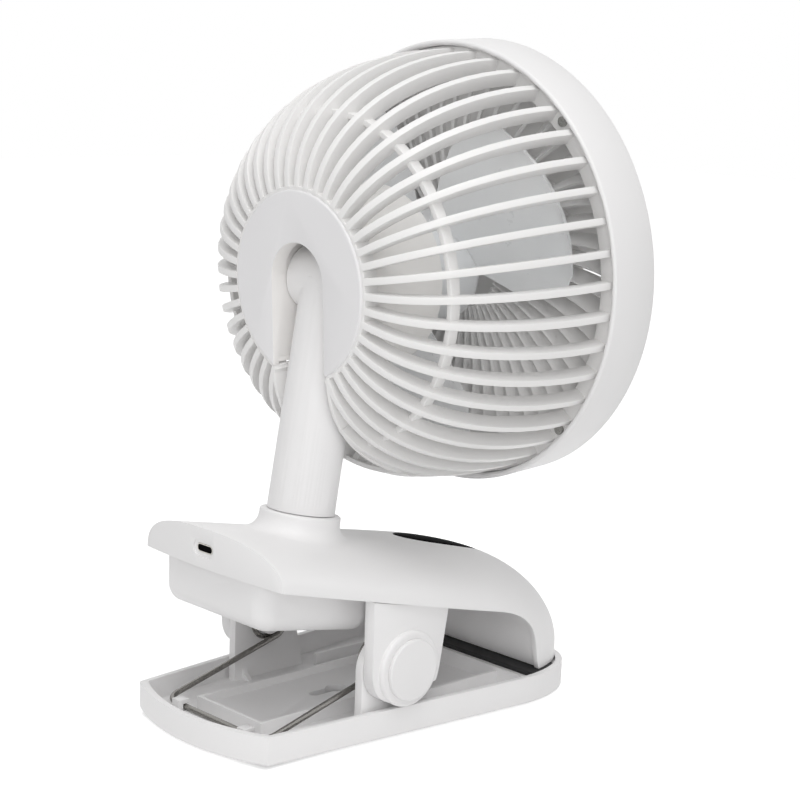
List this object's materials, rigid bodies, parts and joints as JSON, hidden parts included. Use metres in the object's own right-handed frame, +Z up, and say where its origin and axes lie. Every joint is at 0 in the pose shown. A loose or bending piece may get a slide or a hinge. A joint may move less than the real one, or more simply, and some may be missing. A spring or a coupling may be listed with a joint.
{
  "type": "clip fan",
  "caption": "Clip fan: caged, tilting head on a swivelling neck, held by a sprung two-jaw clip with a battery box and touch panel.",
  "frame": {"origin": "centre of the bounding box on the floor, under the middle of the lower jaw; the soles of the rubber feet are at z = 0", "axes": "+Z up, the fan blows towards -Y, the charging socket faces +Y, and X = 0 is the plane of symmetry of the clip"},
  "size_m": [0.1724, 0.168, 0.2564],
  "materials": {
    "shell_plastic": "fine-grained white moulding",
    "grille_plastic": "satin white moulding",
    "cap_plastic": "satin light grey-white moulding",
    "panel_plastic": "polished black",
    "blade_plastic": "satin cool grey",
    "housing_plastic": "warm white moulding",
    "inner_plastic": "plain moulding",
    "pad_rubber": "matte black",
    "foot_rubber": "matte light grey",
    "spring_steel": "drawn wire",
    "pin_steel": "ground",
    "screw_steel": "plated",
    "socket_metal": "plated sheet",
    "stator_iron": "laminated",
    "winding_copper": "enamelled wire",
    "magnet": "plain dark",
    "circuit_board": "solder mask",
    "cell_wrap": "shrink film",
    "lead_sheath": "matte black"
  },
  "bodies": {
    "lower_jaw": {"lower_tray": "shell_plastic", "rubber_feet": "foot_rubber", "jaw_pad": "pad_rubber", "hinge_pins": "pin_steel", "clip_spring": "spring_steel"},
    "upper_jaw": {"upper_shell": "shell_plastic", "jaw_frame": "shell_plastic", "hinge_cap_right": "cap_plastic", "hinge_cap_left": "cap_plastic", "touch_panel": "panel_plastic", "touch_board": "circuit_board", "frame_screws": "screw_steel", "battery_box": "shell_plastic", "battery_pack": "cell_wrap", "charging_board": "circuit_board", "usb_socket": "socket_metal"},
    "neck": {"neck_pole": "shell_plastic", "swivel_retainer": "inner_plastic", "swivel_screws": "screw_steel", "swivel_washer": "inner_plastic", "neck_lead": "lead_sheath"},
    "head": {"rear_cap": "cap_plastic", "tilt_axle": "pin_steel", "tilt_nuts": "screw_steel", "tilt_washers": "screw_steel", "motor_housing": "housing_plastic", "rear_bearing": "screw_steel", "front_bearing": "screw_steel", "motor_board": "circuit_board", "motor_stator": "stator_iron", "motor_windings": "winding_copper", "rear_grille": "grille_plastic", "outer_band": "shell_plastic", "front_grille": "grille_plastic", "front_badge": "cap_plastic", "grille_screws": "screw_steel"},
    "rotor": {"fan_blades": "blade_plastic", "rotor_cup": "stator_iron", "rotor_magnet": "magnet", "motor_shaft": "pin_steel"}
  },
  "joints": [
    {"name": "clip_hinge", "type": "hinge", "parent": "lower_jaw", "child": "upper_jaw", "pos_m": [0, 0.0142, 0.027], "axis": [-1, 0, 0], "range_deg": [0, 28], "stiffness_Nm_per_rad": 1.2, "springref_deg": -57.3, "deforming": ["clip_spring"]},
    {"name": "neck_swivel", "type": "hinge", "parent": "upper_jaw", "child": "neck", "pos_m": [0, 0.02964, 0.0797], "axis": [0, -0.165, 0.9863], "range_deg": [-170, 170]},
    {"name": "head_tilt", "type": "hinge", "parent": "neck", "child": "head", "pos_m": [0, 0.0152, 0.166], "axis": [-1, 0, 0], "range_deg": [-12, 75]},
    {"name": "fan_spin", "type": "hinge", "parent": "head", "child": "rotor", "pos_m": [0, 0.03397, 0.16498], "axis": [0, -0.9985, 0.0541], "continuous": true}
  ]
}
